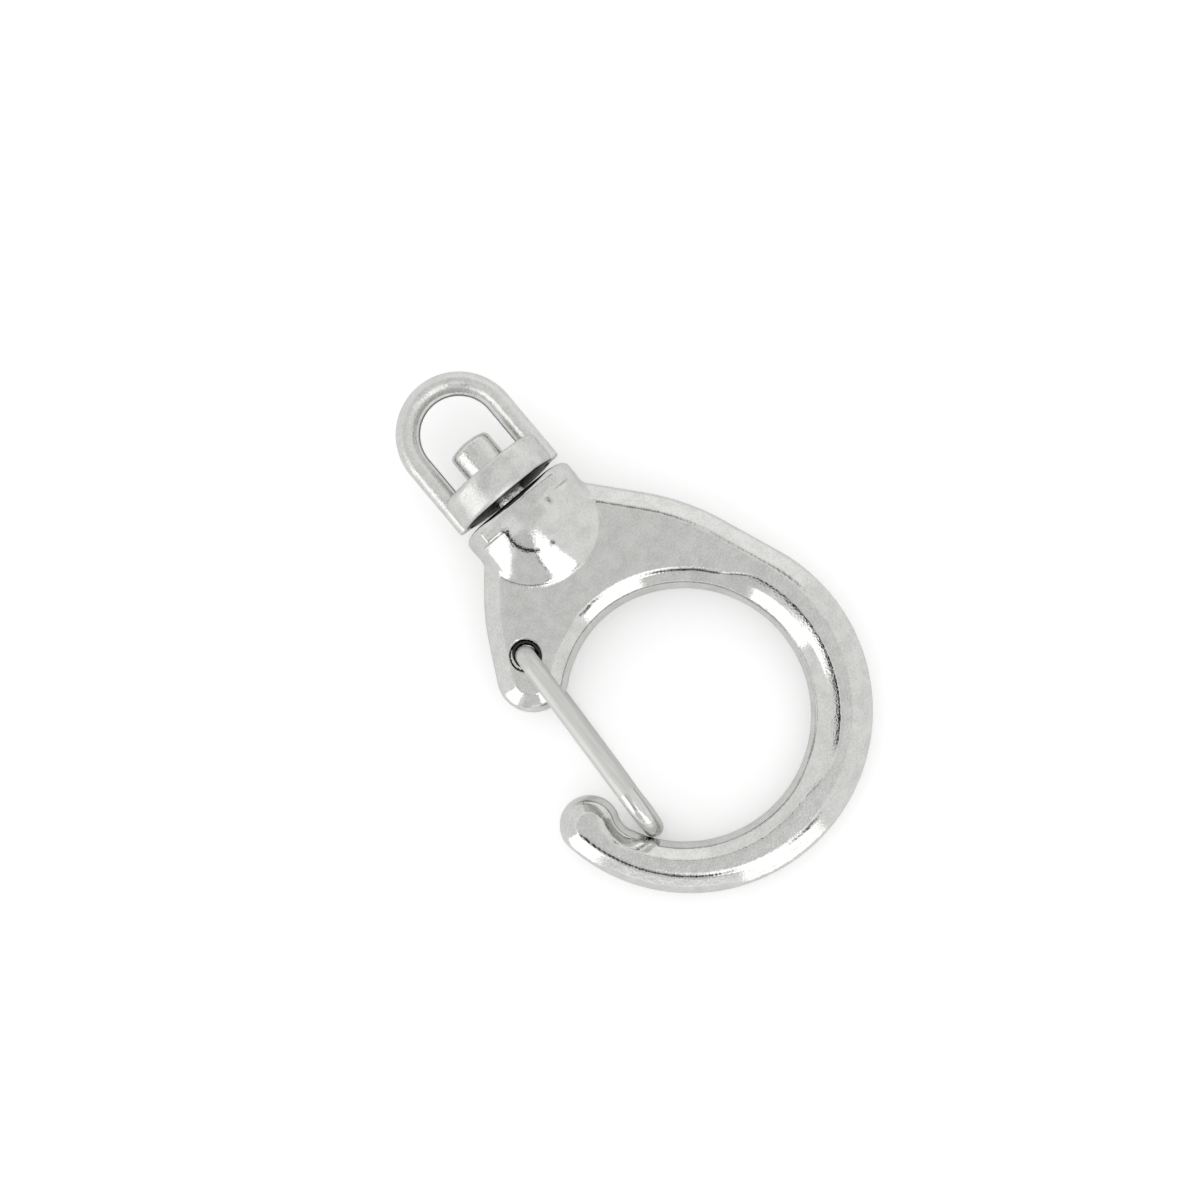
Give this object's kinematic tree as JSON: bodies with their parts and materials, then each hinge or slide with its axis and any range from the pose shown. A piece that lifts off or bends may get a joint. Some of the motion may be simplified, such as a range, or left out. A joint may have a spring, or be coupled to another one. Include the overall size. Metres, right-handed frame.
{
  "type": "swivel snap hook",
  "caption": "Flat round snap hook with a sprung wire gate and a swivelling eye on its neck, for joining a strap, cord or key ring to a load.",
  "frame": {"origin": "centre of the ring's outer circle, on the parting plane and on the swivel axis", "axes": "+Y along the swivel axis toward the eye, +Z out of the hook's flat face, +X toward the ring's closed back"},
  "size_m": [0.03, 0.0502, 0.0096],
  "materials": {
    "nickel_casting": "satin-bright nickel plate over a die casting, with faint mottling",
    "nickel_rivet": "bright nickel plate on a turned and headed rivet",
    "nickel_wire": "smooth nickel-plated spring wire with faint lines along it"
  },
  "bodies": {
    "hook": {"hook_body": "nickel_casting", "swivel_rivet": "nickel_rivet"},
    "eye": {"swivel_eye": "nickel_casting"},
    "gate": {"wire_gate": "nickel_wire"}
  },
  "joints": [
    {"name": "eye_swivel", "type": "hinge", "parent": "hook", "child": "eye", "pos_m": [0, 0.0232, 0], "axis": [0, 1, 0], "continuous": true},
    {"name": "gate_hinge", "type": "hinge", "parent": "hook", "child": "gate", "pos_m": [-0.00748, 0.01211, 0], "axis": [0, 0, 1], "range_deg": [0, 60], "stiffness_Nm_per_rad": 0.03, "springref_deg": -34.38}
  ]
}
